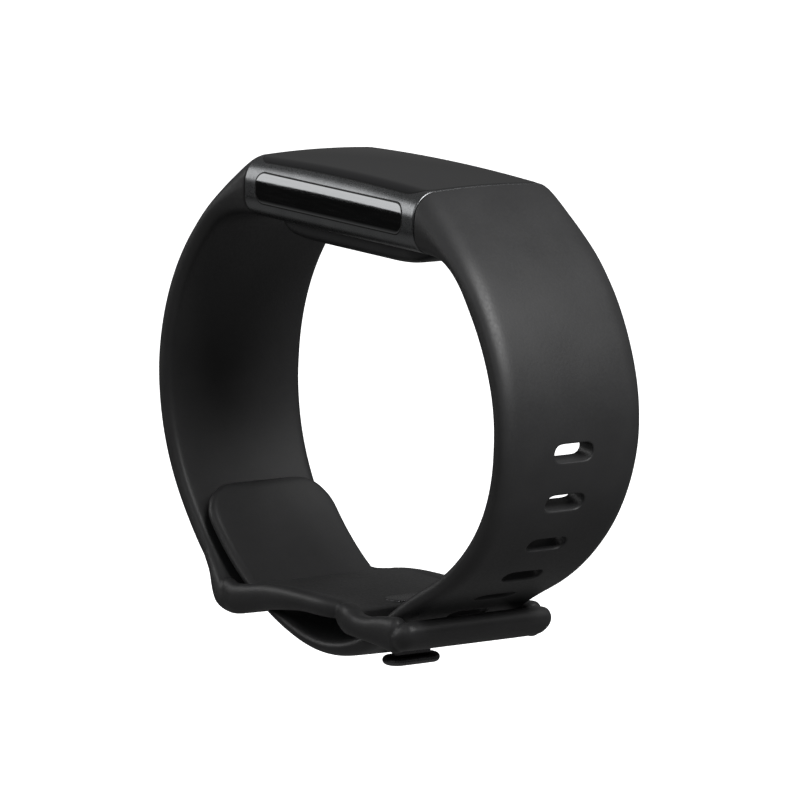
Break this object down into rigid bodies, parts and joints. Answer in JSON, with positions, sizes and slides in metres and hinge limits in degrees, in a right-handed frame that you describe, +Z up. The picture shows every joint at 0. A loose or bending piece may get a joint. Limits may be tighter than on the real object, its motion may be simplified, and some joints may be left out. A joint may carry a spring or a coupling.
{
  "type": "fitness tracker band",
  "caption": "Slim fitness tracker with a curved glass on a soft two-piece strap, closed in a ring by a double loop and a peg.",
  "frame": {"origin": "centre of the object's base, under the ring's centre, level with the underside of the clasp peg", "axes": "+X along the tracker, +Y across the band away from the front side, +Z up through the glass"},
  "size_m": [0.0767, 0.0246, 0.0648],
  "materials": {
    "case_metal": "satin anodised",
    "glass": "polished black",
    "seal": "matte",
    "display": "gloss",
    "flex": "gloss",
    "electrode": "polished dark coating",
    "gold": "gold plated",
    "pcb": "solder resist",
    "chip": "moulded",
    "tin": "satin",
    "foil": "satin film",
    "foam": "matte",
    "tungsten": "sintered",
    "back_plastic": "fine matte",
    "led": "clear",
    "silicone": "soft matte",
    "lug_metal": "satin",
    "latch_plastic": "fine matte",
    "spring": "bright",
    "peg_metal": "satin anodised"
  },
  "bodies": {
    "tracker": {"case_frame": "case_metal", "cover_glass": "glass", "glass_gasket": "seal", "display_panel": "display", "display_flex": "flex", "electrode_front": "electrode", "electrode_rear": "electrode", "electrode_seal_front": "seal", "electrode_seal_rear": "seal", "electrode_contacts": "gold", "main_board": "pcb", "board_chips": "chip", "shield_can": "tin", "battery_cell": "foil", "battery_pad": "foam", "antenna_strip": "flex", "motor_case": "tin", "motor_shaft": "tin", "back_cover": "back_plastic", "back_gasket": "seal", "sensor_window": "glass", "sensor_board": "pcb", "sensor_leds": "led", "photodiodes": "chip", "light_baffle": "seal", "charge_pins": "gold"},
    "band": {"loop_strap": "silicone", "tail_strap": "silicone", "lug_left": "lug_metal", "lug_right": "lug_metal", "latch_spring_left": "spring", "latch_spring_right": "spring", "clasp_peg": "peg_metal"},
    "tail_tip": {"tail_tip": "silicone"},
    "latch_left": {"latch_left": "latch_plastic"},
    "latch_right": {"latch_right": "latch_plastic"},
    "motor_weight": {"motor_weight": "tungsten"}
  },
  "joints": [
    {"name": "band_slide", "type": "slide", "parent": "tracker", "child": "band", "axis": [0, 0, -1], "range_m": [0, 0.012]},
    {"name": "tail_tip_flex", "type": "hinge", "parent": "band", "child": "tail_tip", "pos_m": [-0.01594, 0, 0.00781], "axis": [0, 1, 0], "range_deg": [0, 25], "stiffness_Nm_per_rad": 0.02},
    {"name": "latch_left_slide", "type": "slide", "parent": "band", "child": "latch_left", "axis": [-1, 0, 0], "range_m": [0, 0.0011], "stiffness_N_per_m": 800, "springref_m": -0.0005, "deforming": ["latch_spring_left"]},
    {"name": "latch_right_slide", "type": "slide", "parent": "band", "child": "latch_right", "axis": [1, 0, 0], "range_m": [0, 0.0011], "stiffness_N_per_m": 800, "springref_m": -0.0005, "deforming": ["latch_spring_right"]},
    {"name": "motor_spin", "type": "hinge", "parent": "tracker", "child": "motor_weight", "pos_m": [0.01, 0, 0.0584], "axis": [0, 0, 1], "continuous": true}
  ]
}
